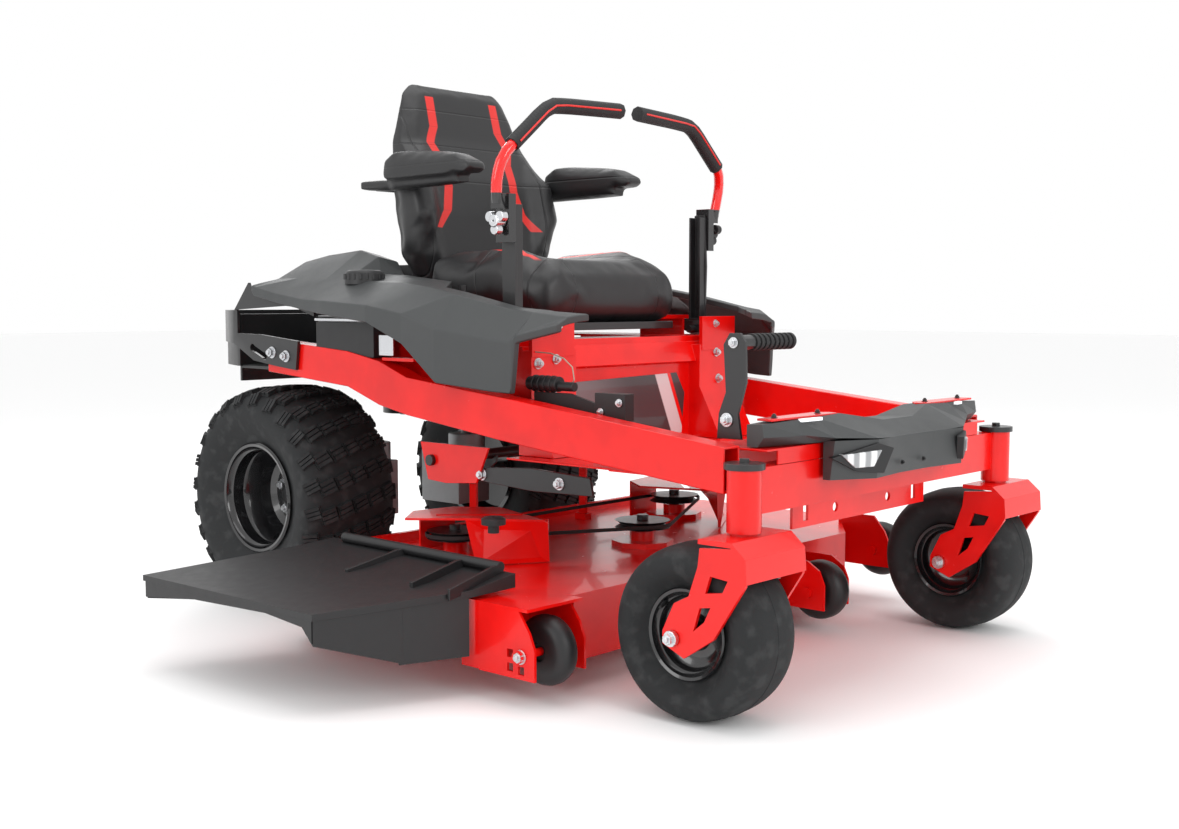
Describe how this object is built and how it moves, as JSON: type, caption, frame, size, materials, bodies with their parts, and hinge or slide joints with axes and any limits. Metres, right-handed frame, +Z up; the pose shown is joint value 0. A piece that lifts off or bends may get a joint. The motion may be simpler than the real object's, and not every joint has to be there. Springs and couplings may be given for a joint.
{
  "type": "zero turn mower",
  "caption": "Zero turn riding mower: welded frame on swivel casters and drive tyres, tilting seat, swing-out lap bars, rear engine and a floating side-discharge deck.",
  "frame": {"origin": "middle of the footprint box, on the ground under the tyres", "axes": "+Z up, +Y towards the rear of the machine, +X towards the operator's left"},
  "size_m": [1.7, 1.89, 1.338],
  "materials": {
    "frame_paint": "glossy red powder coat over steel",
    "handle_paint": "glossy red powder coat on tube",
    "black_steel": "satin black powder coat",
    "moulded_plastic": "textured dark grey moulded plastic",
    "tyre_rubber": "matte black tyre rubber",
    "belt_rubber": "fabric-faced rubber belt",
    "grip_rubber": "soft ribbed rubber with a red inlaid line",
    "seat_vinyl": "black vinyl with red stripes and stitched seams",
    "zinc_bolt": "bright zinc-plated steel",
    "bare_steel": "machined steel",
    "cast_metal": "cast aluminium",
    "knob_plastic": "red moulded plastic"
  },
  "bodies": {
    "frame": {"front_axle_beam": "frame_paint", "foot_deck": "frame_paint", "seat_tower": "frame_paint", "engine_plate": "frame_paint", "rear_bumper": "black_steel", "engine_block": "cast_metal", "engine_cover": "moulded_plastic", "muffler": "bare_steel", "headlight_bar": "moulded_plastic", "frame_rail_right": "frame_paint", "fender_right": "moulded_plastic", "transaxle_right": "black_steel", "frame_rail_left": "frame_paint", "fender_left": "moulded_plastic", "transaxle_left": "black_steel"},
    "caster_right": {"caster_fork_right": "frame_paint", "caster_axle_right": "zinc_bolt", "kingpin_cap_right": "moulded_plastic"},
    "caster_wheel_right": {"caster_tyre_right": "tyre_rubber", "caster_rim_right": "black_steel"},
    "drive_wheel_right": {"rear_tyre_right": "tyre_rubber", "rear_rim_right": "black_steel"},
    "lap_control_right": {"control_hub_right": "black_steel"},
    "lap_bar_right": {"lap_arm_right": "black_steel", "lap_tube_right": "handle_paint", "lap_grip_right": "grip_rubber", "adjust_knob_right": "cast_metal"},
    "armrest_right": {"armrest_right": "seat_vinyl"},
    "caster_left": {"caster_fork_left": "frame_paint", "caster_axle_left": "zinc_bolt", "kingpin_cap_left": "moulded_plastic"},
    "caster_wheel_left": {"caster_tyre_left": "tyre_rubber", "caster_rim_left": "black_steel"},
    "drive_wheel_left": {"rear_tyre_left": "tyre_rubber", "rear_rim_left": "black_steel"},
    "lap_control_left": {"control_hub_left": "black_steel"},
    "lap_bar_left": {"lap_arm_left": "black_steel", "lap_tube_left": "handle_paint", "lap_grip_left": "grip_rubber", "adjust_knob_left": "cast_metal"},
    "armrest_left": {"armrest_left": "seat_vinyl"},
    "seat": {"seat_pan": "black_steel", "seat_cushion": "seat_vinyl", "seat_back": "seat_vinyl"},
    "deck": {"deck_shell": "frame_paint", "belt_cover_right": "frame_paint", "belt_cover_left": "frame_paint", "deck_belt": "belt_rubber"},
    "lift_pedal": {"lift_pedal": "black_steel"},
    "lift_shaft": {"lift_shaft": "black_steel"},
    "chute": {"discharge_chute": "moulded_plastic"},
    "spindle_center": {"spindle_center": "bare_steel"},
    "spindle_right": {"spindle_right": "bare_steel"},
    "spindle_left": {"spindle_left": "bare_steel"},
    "deck_wheel_right": {"deck_wheel_right": "tyre_rubber"},
    "deck_wheel_center": {"deck_wheel_center": "tyre_rubber"},
    "deck_wheel_left": {"deck_wheel_left": "tyre_rubber"},
    "throttle": {"throttle_lever": "moulded_plastic"},
    "pto_switch": {"pto_knob": "knob_plastic"},
    "clutch_pulley": {"engine_pulley": "cast_metal"}
  },
  "joints": [
    {"name": "caster_swivel_right", "type": "hinge", "parent": "frame", "child": "caster_right", "pos_m": [-0.351, -0.861, 0.4], "axis": [0, 0, 1], "continuous": true},
    {"name": "caster_spin_right", "type": "hinge", "parent": "caster_right", "child": "caster_wheel_right", "pos_m": [-0.351, -0.774, 0.165], "axis": [1, 0, 0], "continuous": true},
    {"name": "drive_wheel_spin_right", "type": "hinge", "parent": "frame", "child": "drive_wheel_right", "pos_m": [-0.235, 0.636, 0.279], "axis": [1, 0, 0], "continuous": true},
    {"name": "lap_drive_right", "type": "hinge", "parent": "frame", "child": "lap_control_right", "pos_m": [-0.186, -0.114, 0.7], "axis": [1, 0, 0], "range_deg": [-10, 15]},
    {"name": "lap_swing_right", "type": "hinge", "parent": "lap_control_right", "child": "lap_bar_right", "pos_m": [-0.186, -0.114, 0.712], "axis": [0, -1, 0], "range_deg": [0, 30]},
    {"name": "caster_swivel_left", "type": "hinge", "parent": "frame", "child": "caster_left", "pos_m": [0.651, -0.861, 0.4], "axis": [0, 0, 1], "continuous": true},
    {"name": "caster_spin_left", "type": "hinge", "parent": "caster_left", "child": "caster_wheel_left", "pos_m": [0.651, -0.774, 0.165], "axis": [1, 0, 0], "continuous": true},
    {"name": "drive_wheel_spin_left", "type": "hinge", "parent": "frame", "child": "drive_wheel_left", "pos_m": [0.535, 0.636, 0.279], "axis": [1, 0, 0], "continuous": true},
    {"name": "lap_drive_left", "type": "hinge", "parent": "frame", "child": "lap_control_left", "pos_m": [0.486, -0.114, 0.7], "axis": [1, 0, 0], "range_deg": [-10, 15]},
    {"name": "lap_swing_left", "type": "hinge", "parent": "lap_control_left", "child": "lap_bar_left", "pos_m": [0.486, -0.114, 0.712], "axis": [0, 1, 0], "range_deg": [0, 30]},
    {"name": "seat_tilt", "type": "hinge", "parent": "frame", "child": "seat", "pos_m": [0.15, -0.139, 0.7], "axis": [1, 0, 0], "range_deg": [0, 20]},
    {"name": "armrest_flip_right", "type": "hinge", "parent": "seat", "child": "armrest_right", "pos_m": [-0.132, 0.447, 1.056], "axis": [-1, 0, 0], "range_deg": [0, 95]},
    {"name": "armrest_flip_left", "type": "hinge", "parent": "seat", "child": "armrest_left", "pos_m": [0.432, 0.447, 1.056], "axis": [-1, 0, 0], "range_deg": [0, 95]},
    {"name": "deck_lift", "type": "slide", "parent": "frame", "child": "deck", "axis": [0, 0, 1], "range_m": [0, 0.05]},
    {"name": "lift_pedal_swing", "type": "hinge", "parent": "frame", "child": "lift_pedal", "pos_m": [-0.258, -0.761, 0.53], "axis": [1, 0, 0], "range_deg": [-1, 25.5]},
    {"name": "lift_shaft_turn", "type": "hinge", "parent": "frame", "child": "lift_shaft", "pos_m": [0.15, 0.085, 0.408], "axis": [1, 0, 0], "range_deg": [-1, 29.5]},
    {"name": "chute_hinge", "type": "hinge", "parent": "deck", "child": "chute", "pos_m": [-0.464, -0.101, 0.208], "axis": [0, 1, 0], "range_deg": [0, 80]},
    {"name": "spindle_spin_center", "type": "hinge", "parent": "deck", "child": "spindle_center", "pos_m": [0.15, -0.211, 0.16], "axis": [0, 0, 1], "continuous": true},
    {"name": "spindle_spin_right", "type": "hinge", "parent": "deck", "child": "spindle_right", "pos_m": [-0.25, 0.009, 0.16], "axis": [0, 0, 1], "continuous": true},
    {"name": "spindle_spin_left", "type": "hinge", "parent": "deck", "child": "spindle_left", "pos_m": [0.55, 0.009, 0.16], "axis": [0, 0, 1], "continuous": true},
    {"name": "deck_wheel_spin_right", "type": "hinge", "parent": "deck", "child": "deck_wheel_right", "pos_m": [-0.475, -0.489, 0.102], "axis": [1, 0, 0], "continuous": true},
    {"name": "deck_wheel_spin_center", "type": "hinge", "parent": "deck", "child": "deck_wheel_center", "pos_m": [0.391, -0.555, 0.096], "axis": [1, 0, 0], "continuous": true},
    {"name": "deck_wheel_spin_left", "type": "hinge", "parent": "deck", "child": "deck_wheel_left", "pos_m": [0.795, -0.483, 0.132], "axis": [1, 0, 0], "continuous": true},
    {"name": "throttle_swing", "type": "hinge", "parent": "frame", "child": "throttle", "pos_m": [-0.15, 0.079, 0.745], "axis": [1, 0, 0], "range_deg": [-20, 20]},
    {"name": "pto_pull", "type": "slide", "parent": "frame", "child": "pto_switch", "axis": [0, 0, 1], "range_m": [0, 0.014]},
    {"name": "clutch_pulley_spin", "type": "hinge", "parent": "frame", "child": "clutch_pulley", "pos_m": [0.15, 0.639, 0.5], "axis": [0, 0, 1], "continuous": true}
  ],
  "couplings": [
    {"joint": "lift_pedal_swing", "follows": "deck_lift", "rad_per_m": 8.7},
    {"joint": "lift_shaft_turn", "follows": "deck_lift", "rad_per_m": 10},
    {"joint": "spindle_spin_right", "follows": "spindle_spin_center", "ratio": 1},
    {"joint": "spindle_spin_left", "follows": "spindle_spin_center", "ratio": 1}
  ]
}
